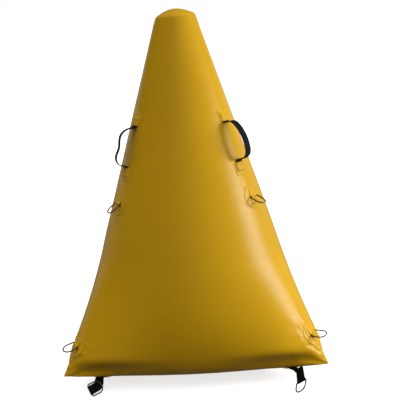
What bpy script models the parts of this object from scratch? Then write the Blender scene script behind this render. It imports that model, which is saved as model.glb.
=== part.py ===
"""Regatta mark buoy: a three-cornered inflatable bag with webbing handles, tie-down rings and base straps.

Run it with: blender --background --python part.py
Units are metres and +Z is up. The origin is the centre of the patch of skin that the bag rests on.
The bag's three ridges run down to its corners, front left, front right and back. The front faces -Y.
"""
import math

import bmesh
import bpy
from mathutils import Matrix, Vector

# Bag: the round top
SHOULDER_HEIGHT = 1.479
SHOULDER_RADIUS = 0.081
CROWN_RISE = 0.026
# Bag: the three-cornered base
CORNER_RADIUS = 0.622
CORNER_HEIGHT = 0.072
SEAM_RADIUS = 0.310
SEAM_HEIGHT = 0.060
REST_SHARE = 0.50
BELLY_POWER = 1.15
# Bag: the sides between them, as the cones that the ridges and the face middles follow
RIDGE_CONE_RADIUS = 0.530
RIDGE_FLARE_START = 0.677
RIDGE_FLARE_POWER = 1.34
FACE_CONE_RADIUS = 0.508
FACE_CURL_START = 0.62
ROUND_POWER = 1.98
ROUND_GAIN = 0.69
SEAM_SHARPNESS = 60.0
# Bag: fineness of the skin
SIDE_RINGS = 24
SECTOR_STEPS = 10
BELLY_RINGS = 4
PATCH_FINENESS = {"upper": (2, 20), "lower": (3, 24)}
CROWN_RINGS = 3

RIDGES = {"left": 210.0, "right": 330.0, "back": 90.0}
FACES = (270.0, 30.0, 150.0)

# Fabric and fits
SKIN_GAP = 0.0005
FIT_GAP = 0.0003
STRAP_GAP = 0.0010
PATCH_SKIN = 0.0012
PATCH_RADIUS = 0.050

# Handles. Each loop's line runs down the ridge; its places are shares of half its length and of its reach.
HANDLE_TOP = 1.048
HANDLE_BOTTOM = 0.894
HANDLE_ASIDE = {"left": 0.0, "right": -4.0, "back": 0.0}
HANDLE_LEAN = {"left": 13.0, "right": 0.0, "back": 0.0}
HANDLE_REACH = {"left": 0.050, "right": 0.063, "back": 0.060}
HANDLE_LEAN_FROM = 0.005
HANDLE_LEAN_OVER = 0.020
HANDLE_SHARES = {
    "left": (
        (-0.93, 0.26), (-0.79, 0.68), (-0.54, 0.97), (-0.28, 1.02), (-0.05, 0.94), (0.24, 0.88), (0.52, 1.01),
        (0.77, 0.99), (0.97, 0.74), (1.05, 0.44), (0.965, 0.055),
    ),
    "right": (
        (-0.99, 0.30), (-0.95, 0.58), (-0.56, 0.87), (-0.07, 1.02), (0.25, 1.03), (0.50, 1.01), (0.80, 0.93),
        (0.98, 0.64), (0.99, 0.35), (0.90, 0.05),
    ),
    "back": (
        (-0.94, 0.30), (-0.86, 0.66), (-0.50, 0.93), (0.0, 1.03), (0.45, 1.05), (0.80, 1.02), (1.04, 0.82),
        (1.06, 0.42), (0.963, 0.05),
    ),
}
WEBBING_WIDTH = 0.038
HANDLE_THICKNESS = 0.003
HANDLE_TAB = 0.036
COVER_WIDTH = 0.066
COVER_LENGTH = 0.052

# D-rings and their keepers
WIRE_RADIUS = 0.00275
RING_WIDTH = 0.050
RING_LENGTH = 0.055
RING_CORNER = 0.006
BAR_CLEARANCE = 0.00035
KEEPER_WIDTH = 0.034
KEEPER_LENGTH = 0.060
KEEPER_SKIN = 0.0016
UPPER_RING_DROP = 0.148
LOWER_RING_HEIGHT = 0.190
UPPER_RING_ASIDE = {"left": 0.0, "right": -1.0, "back": 0.0}
UPPER_RING_HANG = {"left": 52.0, "right": 42.0, "back": 47.0}
LOWER_RING_HANG = {"left": 44.0, "right": 30.0, "back": 37.0}
LOWER_RING_TURN = {"left": -14.0, "right": 14.0, "back": 0.0}

# Base straps: where each leaves the base, and where its ring's bar lies, from the bag's axis
STRAP_ROOT = {"left": (-0.394, -0.290), "right": (0.394, -0.290), "back": (0.0541, 0.4862)}
STRAP_HEADING = {"left": 252.0, "right": 288.0, "back": 70.0}
STRAP_THICKNESS = 0.002
STRAP_TAB = 0.048
STRAP_DROP = 0.10
STRAP_PATCH_RADIUS = 0.036
STRAP_END_STRAIGHT = 0.046
STRAP_RETURN = 0.040
STRAP_BAR = {
    "left": (-0.428, -0.362, 0.0265), "right": (0.4205, -0.381, 0.032), "back": (0.087, 0.577, 0.016),
}
STRAP_BAR_LINE = {"left": (0.40, -0.25, -0.88), "right": (0.739, -0.355, 0.574), "back": (-0.940, 0.342, 0.0)}
STRAP_RETURN_SIDE = {"left": (1.0, 0.0, 0.0), "right": (0.0, 0.0, -1.0), "back": (0.0, 0.0, -1.0)}
STRAP_RING_LINE = {
    "left": (0.906, -0.038, 0.422), "right": (-0.148, -0.9155, -0.3755), "back": (0.337, 0.925, -0.17),
}

# Inflation valve, on a rear face
VALVE_FACE = 150.0
VALVE_HEIGHT = 0.42
VALVE_SINK = 0.0015
VALVE_POCKET_DEPTH = 0.030
BASE_RIM_RADIUS = 0.030
BASE_RIM_THICKNESS = 0.0030
BASE_TUBE_RADIUS = 0.0222
BASE_BORE_RADIUS = 0.0195
BASE_TUBE_DEPTH = 0.022
BODY_FLANGE_RADIUS = 0.0245
BODY_FLANGE_THICKNESS = 0.0022
BODY_BORE_RADIUS = 0.0165
SEAT_DEPTH = 0.018
SEAT_THICKNESS = 0.002
PORT_RADIUS = 0.0036
PORT_CIRCLE = 0.0095
PORT_COUNT = 4
FLAP_RADIUS = 0.0155
FLAP_THICKNESS = 0.001
FLAP_STEM_RADIUS = 0.0015
FLAP_HEAD_RADIUS = 0.003
FLAP_HEAD_THICKNESS = 0.0018
CAP_RADIUS = 0.0245
CAP_THICKNESS = 0.0032
CAP_SKIRT_DEPTH = 0.009
CAP_SKIRT_WALL = 0.002
CAP_LOBES = 8
CAP_LOBE_DEPTH = 0.0008
KNOB_NECK_RADIUS = 0.006
KNOB_NECK_HEIGHT = 0.0026
KNOB_HEAD_RADIUS = 0.008
KNOB_HEAD_THICKNESS = 0.002
GASKET_INNER_RADIUS = 0.0180
GASKET_OUTER_RADIUS = 0.0220
GASKET_THICKNESS = 0.0015
TETHER_THICKNESS = 0.0018
TETHER_WIDTH = 0.008
TETHER_EYE_WALL = 0.004
TETHER_REACH = 0.050

# Looks: colour, roughness and, on metal, metallic
BLACK = (0.012, 0.012, 0.014)
BAG_LOOK = ((0.80, 0.43, 0.01), 0.32)
PATCH_LOOK = ((0.82, 0.46, 0.015), 0.35)
WEBBING_LOOK = (BLACK, 0.85)
STEEL_LOOK = ((0.55, 0.55, 0.56), 0.28, 1.0)
PLASTIC_LOOK = ((0.10, 0.10, 0.105), 0.4)
RUBBER_LOOK = (BLACK, 0.7)


def smooth_step(t):
    """0 before 0, 1 after 1, and an S-curve between them."""
    t = min(max(t, 0.0), 1.0)
    return t * t * (3 - 2 * t)


def ridge_share(phi, power):
    """0 at the middle of a face and 1 on a ridge, rounder the lower the power."""
    total = 0.0
    for face in FACES:
        total += max(math.cos(phi - math.radians(face)), 0.0) ** power
    return (total ** (-1 / power) - 1) / (2 * 2 ** (-1 / power) - 1)


def section_power(s):
    """How far the section at share s of the way down has gone from round to three-cornered."""
    rounding = min(max((s - 0.6) / 0.35, 0.0), 1.0)
    seam = max(0.0, (s - 0.90) / 0.10)
    return ROUND_POWER + ROUND_GAIN * rounding + SEAM_SHARPNESS * seam ** 6


def side_radius(phi, s):
    """Radius of the bag's side at azimuth phi, at share s of the way from the shoulder to the base seam."""
    curl = max(0.0, (s - FACE_CURL_START) / (1 - FACE_CURL_START))
    flare = max(0.0, (s - RIDGE_FLARE_START) / (1 - RIDGE_FLARE_START))
    face = SHOULDER_RADIUS + (FACE_CONE_RADIUS - SHOULDER_RADIUS) * s
    face -= (FACE_CONE_RADIUS - SEAM_RADIUS) * (1 - math.sqrt(max(0.0, 1 - curl * curl)))
    ridge = SHOULDER_RADIUS + (RIDGE_CONE_RADIUS - SHOULDER_RADIUS) * s
    ridge += (CORNER_RADIUS - RIDGE_CONE_RADIUS) * flare ** RIDGE_FLARE_POWER
    return face + (ridge - face) * ridge_share(phi, section_power(s))


def seam_height(phi):
    """Height of the base seam, lowest at the middle of a face and highest at a corner."""
    return SEAM_HEIGHT + (CORNER_HEIGHT - SEAM_HEIGHT) * ridge_share(phi, SEAM_SHARPNESS)


def polar(radius, phi, height):
    return Vector((radius * math.cos(phi), radius * math.sin(phi), height))


def side_point(phi, s):
    height = SHOULDER_HEIGHT + (seam_height(phi) - SHOULDER_HEIGHT) * s
    return polar(side_radius(phi, s), phi, height)


def side_point_at(phi, height):
    return side_point(phi, (SHOULDER_HEIGHT - height) / (SHOULDER_HEIGHT - seam_height(phi)))


def base_height(x, y):
    """Height of the base panel at a point of the plan: flat in the middle, and rising to the seam."""
    phi = math.atan2(y, x)
    share = math.hypot(x, y) / side_radius(phi, 1.0)
    rise = max(0.0, (share - REST_SHARE) / (1 - REST_SHARE))
    return seam_height(phi) * rise ** BELLY_POWER


class Seat:
    """A place on the side of the bag: its point, and unit vectors out of the skin, down it and across it."""

    def __init__(self, azimuth, height, turn=0.0):
        self.phi = math.radians(azimuth)
        self.height = height
        step = 0.002
        self.point = side_point_at(self.phi, height)
        below = side_point_at(self.phi, height - step)
        beside = side_point_at(self.phi + step, height)
        self.down = (below - self.point).normalized()
        self.out = (beside - self.point).cross(self.point - below).normalized()
        self.across = self.down.cross(self.out).normalized()
        self.slope = (self.point.z - below.z) / (self.point - below).length
        spin = Matrix.Rotation(math.radians(turn), 3, self.out)
        self.turned_down = spin @ self.down
        self.turned_across = spin @ self.across

    def skin(self, x, y):
        """The point of the skin x across and y down from here, in the unturned frame."""
        height = self.height - y * self.slope
        middle = side_point_at(self.phi, height)
        return side_point_at(self.phi - x / math.hypot(middle.x, middle.y), height)

    def skin_out(self, x, y):
        """The skin's outward direction at that point."""
        step = 0.002
        along = self.skin(x, y + step) - self.skin(x, y - step)
        sideways = self.skin(x + step, y) - self.skin(x - step, y)
        return sideways.cross(along).normalized() * math.copysign(1, sideways.cross(along).dot(self.out))

    def skin_rise(self, x, y):
        """How far the skin lies over the flat, turned frame here at x, y. It is less than 0 on a ridge."""
        spot = self.turned_across * x + self.turned_down * y
        return (self.skin(spot.dot(self.across), spot.dot(self.down)) - self.point).dot(self.out)

    def place(self, x, y, h):
        """A point in the flat frame here: x across, y down and h out."""
        return self.point + self.turned_across * x + self.turned_down * y + self.out * h


def material(name, colour, roughness, metallic=0.0):
    made = bpy.data.materials.new(name)
    made.use_nodes = True
    shader = made.node_tree.nodes["Principled BSDF"]
    shader.inputs["Base Color"].default_value = (*colour, 1.0)
    shader.inputs["Roughness"].default_value = roughness
    shader.inputs["Metallic"].default_value = metallic
    return made


def finished(name, bm, look, origin=None, smooth=False):
    """Makes the named object from a closed bmesh in world space, with its origin at the given point."""
    bmesh.ops.remove_doubles(bm, verts=bm.verts, dist=1e-6)
    bmesh.ops.recalc_face_normals(bm, faces=bm.faces)
    mesh = bpy.data.meshes.new(name)
    bm.to_mesh(mesh)
    bm.free()
    if smooth:
        mesh.shade_smooth()
        mesh.set_sharp_from_angle(angle=math.radians(40))
    made = bpy.data.objects.new(name, mesh)
    bpy.context.scene.collection.objects.link(made)
    mesh.materials.append(material(name + "_finish", *look))
    if origin is not None:
        mesh.transform(Matrix.Translation(-Vector(origin)))
        made.location = origin
    return made


def join_rings(bm, first, second, closed=True):
    """Joins two rings of vertices of the same length with quads."""
    count = len(first)
    for i in range(count if closed else count - 1):
        j = (i + 1) % count
        bm.faces.new((first[i], first[j], second[j], second[i]))


def close_ring(bm, ring, point):
    """Closes a ring of vertices with triangles to one point."""
    middle = bm.verts.new(point)
    for i, vertex in enumerate(ring):
        bm.faces.new((vertex, ring[(i + 1) % len(ring)], middle))


def azimuths():
    """Azimuths of the skin's columns, closer together towards each ridge."""
    found = []
    for ridge in sorted(RIDGES.values()):
        for side in (1, -1):
            for i in range(SECTOR_STEPS + 1):
                found.append((ridge + side * 60.0 * (i / SECTOR_STEPS) ** 1.35) % 360.0)
    return [math.radians(a) for a in sorted(set(round(a, 6) for a in found))]


def envelope():
    """The sealed bag: domed round top, sides, and a base panel that is flat where it rests."""
    bm = bmesh.new()
    columns = azimuths()

    def ring_of(place):
        return [bm.verts.new(place(phi)) for phi in columns]

    rings = []
    for i in range(1, CROWN_RINGS):
        share = i / CROWN_RINGS
        radius = SHOULDER_RADIUS * share
        height = SHOULDER_HEIGHT + CROWN_RISE * (1 - share * share)
        rings.append(ring_of(lambda phi: polar(radius, phi, height)))
    crown = rings[0]
    for i in range(SIDE_RINGS + 1):
        s = 1 - (1 - i / SIDE_RINGS) ** 1.5
        rings.append(ring_of(lambda phi: side_point(phi, s)))
    for i in range(1, BELLY_RINGS + 1):
        share = 1 - (1 - REST_SHARE) * i / BELLY_RINGS

        def belly(phi):
            point = polar(side_radius(phi, 1.0) * share, phi, 0.0)
            point.z = base_height(point.x, point.y) if i < BELLY_RINGS else 0.0
            return point

        rings.append(ring_of(belly))
    for upper, lower in zip(rings, rings[1:]):
        join_rings(bm, upper, lower)
    close_ring(bm, crown, (0, 0, SHOULDER_HEIGHT + CROWN_RISE))
    bm.faces.new(rings[-1])
    bag = finished("envelope", bm, BAG_LOOK, smooth=True)
    cut(bag, valve_pocket())
    return bag


def cut(target, cutter):
    cutter.hide_render = True
    cutter.display_type = "WIRE"
    modifier = target.modifiers.new("cut_" + cutter.name, "BOOLEAN")
    modifier.operation = "DIFFERENCE"
    modifier.object = cutter


def unite(target, other):
    other.hide_render = True
    other.display_type = "WIRE"
    modifier = target.modifiers.new("join_" + other.name, "BOOLEAN")
    modifier.operation = "UNION"
    modifier.object = other


def ribbon(bm, path, widths, thickness, width):
    """A flat strap along a path: at each point a rectangle, width wide along its width vector."""
    rings = []
    for i, point in enumerate(path):
        before = path[max(i - 1, 0)]
        after = path[min(i + 1, len(path) - 1)]
        along = (after - before).normalized()
        wide = (widths[i] - along * widths[i].dot(along)).normalized() * (width / 2)
        thick = along.cross(wide).normalized() * (thickness / 2)
        corners = (wide + thick, thick - wide, -wide - thick, wide - thick)
        rings.append([bm.verts.new(point + corner) for corner in corners])
    for first, second in zip(rings, rings[1:]):
        join_rings(bm, first, second)
    bm.faces.new(rings[0])
    bm.faces.new(rings[-1])


def smooth_curve(points, steps):
    """Points along a uniform cubic B-spline that starts and ends at the first and last of its points."""
    knots = [points[0]] * 2 + list(points) + [points[-1]] * 2
    found = []
    for a, b, c, d in zip(knots, knots[1:], knots[2:], knots[3:]):
        for i in range(steps):
            t = i / steps
            found.append(
                (a * (1 - t) ** 3 + b * (3 * t ** 3 - 6 * t ** 2 + 4)
                 + c * (-3 * t ** 3 + 3 * t ** 2 + 3 * t + 1) + d * t ** 3) / 6
            )
    found.append(points[-1].copy())
    return found


def handle_height():
    """Height of the middle of the handles' webbing tabs over the flat frame of their seat."""
    return SKIN_GAP + HANDLE_THICKNESS / 2


def handle_seat(side):
    """The place on the bag at the middle of a handle."""
    return Seat(RIDGES[side] + HANDLE_ASIDE[side], (HANDLE_TOP + HANDLE_BOTTOM) / 2)


def handle_half(seat):
    """Half the distance down the skin between the two places where a handle leaves the bag."""
    return (HANDLE_TOP - HANDLE_BOTTOM) / 2 / seat.slope


def handle(side):
    """One length of webbing whose ends lie on the ridge and whose middle stands off as a leaning loop."""
    seat = handle_seat(side)
    half = handle_half(seat)
    low = handle_height()
    far = half + HANDLE_TAB
    profile = [(-far, low), (-far + HANDLE_TAB / 2, low), (-half - 0.004, low), (-half + 0.002, low)]
    for down, off in HANDLE_SHARES[side]:
        profile.append((half * down, low + HANDLE_REACH[side] * off))
    profile += [(half + 0.004, low), (half + 0.010, low), (far - HANDLE_TAB / 2, low), (far, low)]
    path = []
    widths = []
    for point in smooth_curve([Vector((0, y, h)) for y, h in profile], 2):
        rise = point.z - low
        share = smooth_step((rise - HANDLE_LEAN_FROM) / HANDLE_LEAN_OVER)
        lean = Matrix.Rotation(math.radians(HANDLE_LEAN[side]) * share, 3, seat.down)
        path.append(seat.point + seat.down * point.y + seat.out * low + lean @ (seat.out * rise))
        widths.append(lean @ seat.across)
    bm = bmesh.new()
    ribbon(bm, path, widths, HANDLE_THICKNESS, WEBBING_WIDTH)
    finished(f"{side}_handle", bm, WEBBING_LOOK)


def handle_cover(side, end):
    """A welded cover over one end of a handle's webbing, flat on the bag at its edges, open to the loop."""
    seat = handle_seat(side)
    sign = -1 if end == "top" else 1
    over_tab = handle_height() + HANDLE_THICKNESS / 2 + FIT_GAP
    mouth = handle_half(seat) + 0.006
    half_web = WEBBING_WIDTH / 2
    half_cover = COVER_WIDTH / 2
    columns = [-half_cover, -half_cover + 0.005, -half_web - 0.0015, -half_web * 0.5, 0.0,
               half_web * 0.5, half_web + 0.0015, half_cover - 0.005, half_cover]
    rows = [0.0, HANDLE_TAB * 0.5, HANDLE_TAB - 0.002, (HANDLE_TAB + COVER_LENGTH) / 2, COVER_LENGTH - 0.003,
            COVER_LENGTH]
    narrowing = [1.0, 1.0, 1.0, 0.97, 0.90, 0.80]
    tab_end = handle_half(seat) + HANDLE_TAB - mouth + 0.002
    layers = []
    bm = bmesh.new()
    for lift in (0.0, PATCH_SKIN):
        layer = []
        for row, narrow in zip(rows, narrowing):
            line = []
            for column in columns:
                x, y = column * narrow, sign * (mouth + row)
                skin = seat.skin(x, y)
                over_x = 1 - smooth_step((abs(x) - half_web - 0.001) / (half_cover - half_web - 0.006))
                over_y = 1 - smooth_step((row - tab_end) / (COVER_LENGTH - tab_end - 0.002))
                over = over_x * over_y
                clear = over_tab - (skin - seat.point).dot(seat.out)
                rise = SKIN_GAP + max(0.0, clear - SKIN_GAP) * over + lift
                line.append(bm.verts.new(skin + seat.out * rise))
            layer.append(line)
        layers.append(layer)
    under, upper = layers
    for first, second in zip(under, under[1:]):
        join_rings(bm, first, second, closed=False)
    for first, second in zip(upper, upper[1:]):
        join_rings(bm, first, second, closed=False)
    join_rings(bm, sheet_edge(under), sheet_edge(upper))
    finished(f"{side}_handle_{end}_cover", bm, PATCH_LOOK)


def sheet_edge(rows):
    """The vertices round the edge of a grid of rows, in order."""
    return rows[0] + [row[-1] for row in rows[1:]] + rows[-1][-2::-1] + [row[0] for row in rows[-2:0:-1]]


def round_sheet(bm, place, radius, rings=2, steps=20):
    """A thin round sheet: place(x, y, layer) gives its points, for layer 0 underneath and 1 on top."""
    edges = []
    for layer in (0, 1):
        previous = None
        for i in range(1, rings + 1):
            r = radius * i / rings
            angles = [2 * math.pi * k / steps for k in range(steps)]
            ring = [bm.verts.new(place(r * math.cos(a), r * math.sin(a), layer)) for a in angles]
            if previous is None:
                close_ring(bm, ring, place(0.0, 0.0, layer))
            else:
                join_rings(bm, previous, ring)
            previous = ring
        edges.append(previous)
    join_rings(bm, edges[0], edges[1])


def ring_patch(name, seat, rings, steps):
    bm = bmesh.new()

    def place(x, y, layer):
        return seat.skin(x, y) + seat.skin_out(x, y) * (SKIN_GAP + layer * PATCH_SKIN)

    round_sheet(bm, place, PATCH_RADIUS, rings, steps)
    finished(name, bm, PATCH_LOOK)


def bar_height():
    """Height of a ridge ring's bar over the skin, where it lies on the patch."""
    return SKIN_GAP + PATCH_SKIN + BAR_CLEARANCE + WIRE_RADIUS


def keeper(name, seat):
    """A strip of coated fabric laid over the ring's bar. Its ends bend round the ridge with the patch."""
    low = SKIN_GAP + PATCH_SKIN + FIT_GAP + KEEPER_SKIN / 2
    centre = bar_height()
    arch = WIRE_RADIUS + BAR_CLEARANCE + KEEPER_SKIN / 2
    drop = centre - low
    profile = [(-KEEPER_LENGTH / 2, low), (-KEEPER_LENGTH / 4 - arch, low)]
    for i in range(3):
        angle = math.pi / 2 * i / 2
        profile.append((-arch - drop + drop * math.sin(angle), centre - drop * math.cos(angle)))
    for i in range(1, 6):
        angle = math.pi * i / 6
        profile.append((-arch * math.cos(angle), centre + arch * math.sin(angle)))
    profile += [(-y, h) for y, h in profile[4::-1]]
    bm = bmesh.new()
    layers = []
    for side in (-1, 1):
        rows = []
        for i, (y, h) in enumerate(profile):
            before, after = profile[max(i - 1, 0)], profile[min(i + 1, len(profile) - 1)]
            along = Vector((after[0] - before[0], after[1] - before[1])).normalized()
            y_side = y - along.y * side * KEEPER_SKIN / 2
            h_side = h + along.x * side * KEEPER_SKIN / 2
            bend = smooth_step((abs(y) - arch - drop) / 0.010)
            row = []
            for share in (-1, -0.5, 0, 0.5, 1):
                x = share * KEEPER_WIDTH / 2
                row.append(bm.verts.new(seat.place(x, y_side, h_side + bend * seat.skin_rise(x, y))))
            rows.append(row)
        for first, second in zip(rows, rows[1:]):
            join_rings(bm, first, second, closed=False)
        layers.append(rows)
    join_rings(bm, sheet_edge(layers[0]), sheet_edge(layers[1]))
    finished(name, bm, PATCH_LOOK)


def ring_outline():
    """The D-ring's centre line in its own plane: the bar on the x axis, the bow towards +y."""
    half = RING_WIDTH / 2
    turn_in = half - RING_CORNER
    points = []
    for i in range(3):
        angle = math.pi / 2 * i / 2
        points.append((turn_in + RING_CORNER * math.sin(angle), RING_CORNER - RING_CORNER * math.cos(angle)))
    straight = RING_LENGTH - half
    for i in range(13):
        angle = math.pi * i / 12
        points.append((half * math.cos(angle), straight + half * math.sin(angle)))
    for i in range(3):
        angle = math.pi / 2 * (2 - i) / 2
        points.append((-turn_in - RING_CORNER * math.sin(angle), RING_CORNER - RING_CORNER * math.cos(angle)))
    return points


def d_ring(name, bar, bar_line, ring_line, sides=8):
    """A D-shaped ring of round steel wire. Its origin is on the bar, which is its hinge."""
    line = ring_outline()
    across = bar_line.normalized()
    along = (ring_line - across * ring_line.dot(across)).normalized()
    normal = across.cross(along)
    bm = bmesh.new()
    rings = []
    for i, (x, y) in enumerate(line):
        onward = Vector(line[(i + 1) % len(line)]) - Vector((x, y))
        arriving = Vector((x, y)) - Vector(line[i - 1])
        heading = (onward.normalized() + arriving.normalized()).normalized()
        outward = across * heading.y - along * heading.x
        centre = bar + across * x + along * y
        ring = []
        for k in range(sides):
            angle = 2 * math.pi * (k + 0.5) / sides
            off = outward * math.cos(angle) + normal * math.sin(angle)
            ring.append(bm.verts.new(centre + off * WIRE_RADIUS))
        rings.append(ring)
    for i, ring in enumerate(rings):
        join_rings(bm, ring, rings[(i + 1) % len(rings)])
    finished(name, bm, STEEL_LOOK, origin=bar, smooth=True)


def ring_seat(side, level):
    """The place on the bag of a ridge ring's bar."""
    if level == "upper":
        return Seat(RIDGES[side] + UPPER_RING_ASIDE[side], HANDLE_BOTTOM - UPPER_RING_DROP)
    return Seat(RIDGES[side], LOWER_RING_HEIGHT, LOWER_RING_TURN[side])


def ridge_ring(side, level, hang):
    """A D-ring on a ridge, its patch and its keeper. It hangs at an angle below the skin's outward line."""
    seat = ring_seat(side, level)
    ring_patch(f"{side}_{level}_ring_patch", seat, *PATCH_FINENESS[level])
    keeper(f"{side}_{level}_ring_keeper", seat)
    angle = math.radians(hang)
    ring_line = seat.out * math.cos(angle) + seat.turned_down * math.sin(angle)
    d_ring(f"{side}_{level}_ring", seat.place(0.0, 0.0, bar_height()), seat.turned_across, ring_line)


def panel_point(spot, depth=0.0):
    """The point of the base panel over a point of the plan, moved down off the panel by a depth."""
    step = 0.002
    x, y = spot
    slope_x = (base_height(x + step, y) - base_height(x - step, y)) / (2 * step)
    slope_y = (base_height(x, y + step) - base_height(x, y - step)) / (2 * step)
    down = Vector((slope_x, slope_y, -1.0)).normalized()
    return Vector((x, y, base_height(x, y))) + down * depth


def base_patch(side, centre):
    bm = bmesh.new()

    def place(x, y, layer):
        return panel_point(centre + Vector((x, y)), SKIN_GAP + (1 - layer) * PATCH_SKIN)

    round_sheet(bm, place, STRAP_PATCH_RADIUS)
    finished(f"{side}_strap_patch", bm, PATCH_LOOK)


def base_strap(side):
    """Webbing sewn under the base, led out to its D-ring, folded round the bar and sewn back on itself."""
    heading_angle = math.radians(STRAP_HEADING[side])
    heading = Vector((math.cos(heading_angle), math.sin(heading_angle)))
    aside = Vector((-heading.y, heading.x))
    root = Vector(STRAP_ROOT[side])
    base_patch(side, root - heading * (STRAP_TAB / 2))
    under = SKIN_GAP + PATCH_SKIN + STRAP_GAP + STRAP_THICKNESS / 2
    tab = [panel_point(root - heading * (STRAP_TAB * share), under) for share in (1.0, 0.5, 0.0)]
    root_point = tab[-1]
    run = Vector((heading.x, heading.y, -STRAP_DROP)).normalized()
    flat_width = (panel_point(root + aside * 0.01) - panel_point(root - aside * 0.01)).normalized()
    bar = Vector(STRAP_BAR[side])
    bar_line = Vector(STRAP_BAR_LINE[side]).normalized()
    arrival = bar - root_point
    arrival = (arrival - bar_line * arrival.dot(bar_line)).normalized()
    lift = arrival.cross(bar_line).normalized()
    if lift.dot(Vector(STRAP_RETURN_SIDE[side])) < 0:
        lift = -lift
    eye = WIRE_RADIUS + BAR_CLEARANCE + STRAP_THICKNESS / 2
    start = bar - arrival * STRAP_END_STRAIGHT - lift * eye
    reach = (start - root_point).length * 0.38
    curve = []
    for i in range(1, 11):
        t = i / 10
        curve.append(
            root_point * (1 - t) ** 3 + (root_point + run * reach) * (3 * t * (1 - t) ** 2)
            + (start - arrival * reach) * (3 * t * t * (1 - t)) + start * t ** 3
        )
    path = tab + curve
    if flat_width.dot(bar_line) < 0:
        flat_width = -flat_width
    widths = [flat_width] * 3
    for i in range(1, 11):
        widths.append(flat_width.lerp(bar_line, smooth_step(i / 10)))
    path.append(bar - arrival * STRAP_END_STRAIGHT / 2 - lift * eye)
    for i in range(9):
        angle = math.pi * (i / 8 - 0.5)
        path.append(bar + arrival * (eye * math.cos(angle)) + lift * (eye * math.sin(angle)))
    stack = -eye + STRAP_THICKNESS + FIT_GAP
    for share, height in ((0.18, 0.80), (0.38, 0.30), (0.58, 0.0), (1.0, 0.0)):
        path.append(bar - arrival * (STRAP_RETURN * share) + lift * (stack + (eye - stack) * height))
    widths += [bar_line] * (len(path) - len(widths))
    bm = bmesh.new()
    ribbon(bm, path, widths, STRAP_THICKNESS, WEBBING_WIDTH)
    finished(f"{side}_strap", bm, WEBBING_LOOK)
    d_ring(f"{side}_strap_ring", bar, bar_line, Vector(STRAP_RING_LINE[side]))


def valve_frame():
    """The valve's own frame: its origin on the skin, its z axis out of the bag."""
    seat = Seat(VALVE_FACE, VALVE_HEIGHT)
    turn = Matrix((seat.across, seat.down, seat.out)).transposed().to_4x4()
    if turn.determinant() < 0:
        turn = Matrix((-seat.across, seat.down, seat.out)).transposed().to_4x4()
    return Matrix.Translation(seat.point) @ turn


def turned(name, profile, look, steps=24, lobes=0, lobe_depth=0.0):
    """A turned solid in the valve's frame. The profile runs from its outer top round to its inner top."""
    bm = bmesh.new()
    rings = []
    for radius, height in profile:
        ring = []
        for k in range(steps):
            angle = 2 * math.pi * k / steps
            reach = radius
            if lobes and radius > CAP_RADIUS - 0.001:
                reach += lobe_depth * math.cos(lobes * angle)
            ring.append(bm.verts.new((reach * math.cos(angle), reach * math.sin(angle), height)))
        rings.append(ring)
    for first, second in zip(rings, rings[1:]):
        join_rings(bm, first, second)
    if profile[0][0] < 1e-6 or profile[-1][0] < 1e-6:
        bmesh.ops.remove_doubles(bm, verts=bm.verts, dist=1e-6)
    else:
        join_rings(bm, rings[-1], rings[0])
    made = finished(name, bm, look, smooth=True)
    made.matrix_world = valve_frame()
    return made


def valve_pocket():
    """The hole in the bag for the valve: a shallow round seat for its rim over a deeper bore."""
    clear = 0.010
    rim = BASE_RIM_RADIUS + FIT_GAP * 3
    bore = BASE_TUBE_RADIUS + FIT_GAP
    return turned(
        "valve_pocket",
        [(0.0, clear), (rim, clear), (rim, -VALVE_SINK), (bore, -VALVE_SINK), (bore, -VALVE_POCKET_DEPTH),
         (0.0, -VALVE_POCKET_DEPTH)],
        BAG_LOOK, steps=32,
    )


def valve():
    """Inflation valve: a welded base, a body with a ported seat, a rubber flap under the seat, and a cap."""
    rim_low = -VALVE_SINK + FIT_GAP
    rim_top = rim_low + BASE_RIM_THICKNESS
    turned(
        "valve_base",
        [(BASE_RIM_RADIUS - 0.001, rim_top), (BASE_RIM_RADIUS, rim_top - 0.0012), (BASE_RIM_RADIUS, rim_low),
         (BASE_TUBE_RADIUS, rim_low), (BASE_TUBE_RADIUS, -BASE_TUBE_DEPTH),
         (BASE_BORE_RADIUS, -BASE_TUBE_DEPTH), (BASE_BORE_RADIUS, rim_top)],
        PLASTIC_LOOK, steps=32,
    )
    flange_low = rim_top + FIT_GAP
    flange_top = flange_low + BODY_FLANGE_THICKNESS
    seat_top = -SEAT_DEPTH
    seat_low = seat_top - SEAT_THICKNESS
    tube = BASE_BORE_RADIUS - FIT_GAP
    hole = FLAP_STEM_RADIUS + FIT_GAP
    body = turned(
        "valve_body",
        [(BODY_FLANGE_RADIUS, flange_top), (BODY_FLANGE_RADIUS, flange_low), (tube, flange_low),
         (tube, seat_low), (hole, seat_low), (hole, seat_top), (BODY_BORE_RADIUS, seat_top),
         (BODY_BORE_RADIUS, flange_top)],
        PLASTIC_LOOK, steps=32,
    )
    cut(body, valve_ports(seat_low, seat_top))
    flap_top = seat_low - FIT_GAP
    head_low = seat_top + FIT_GAP
    turned(
        "valve_flap",
        [(0.0, head_low + FLAP_HEAD_THICKNESS), (FLAP_HEAD_RADIUS * 0.6, head_low + FLAP_HEAD_THICKNESS),
         (FLAP_HEAD_RADIUS, head_low), (FLAP_STEM_RADIUS, head_low), (FLAP_STEM_RADIUS, flap_top),
         (FLAP_RADIUS, flap_top), (FLAP_RADIUS, flap_top - FLAP_THICKNESS), (0.0, flap_top - FLAP_THICKNESS)],
        RUBBER_LOOK, steps=16,
    )
    valve_cap(flange_top)


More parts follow.
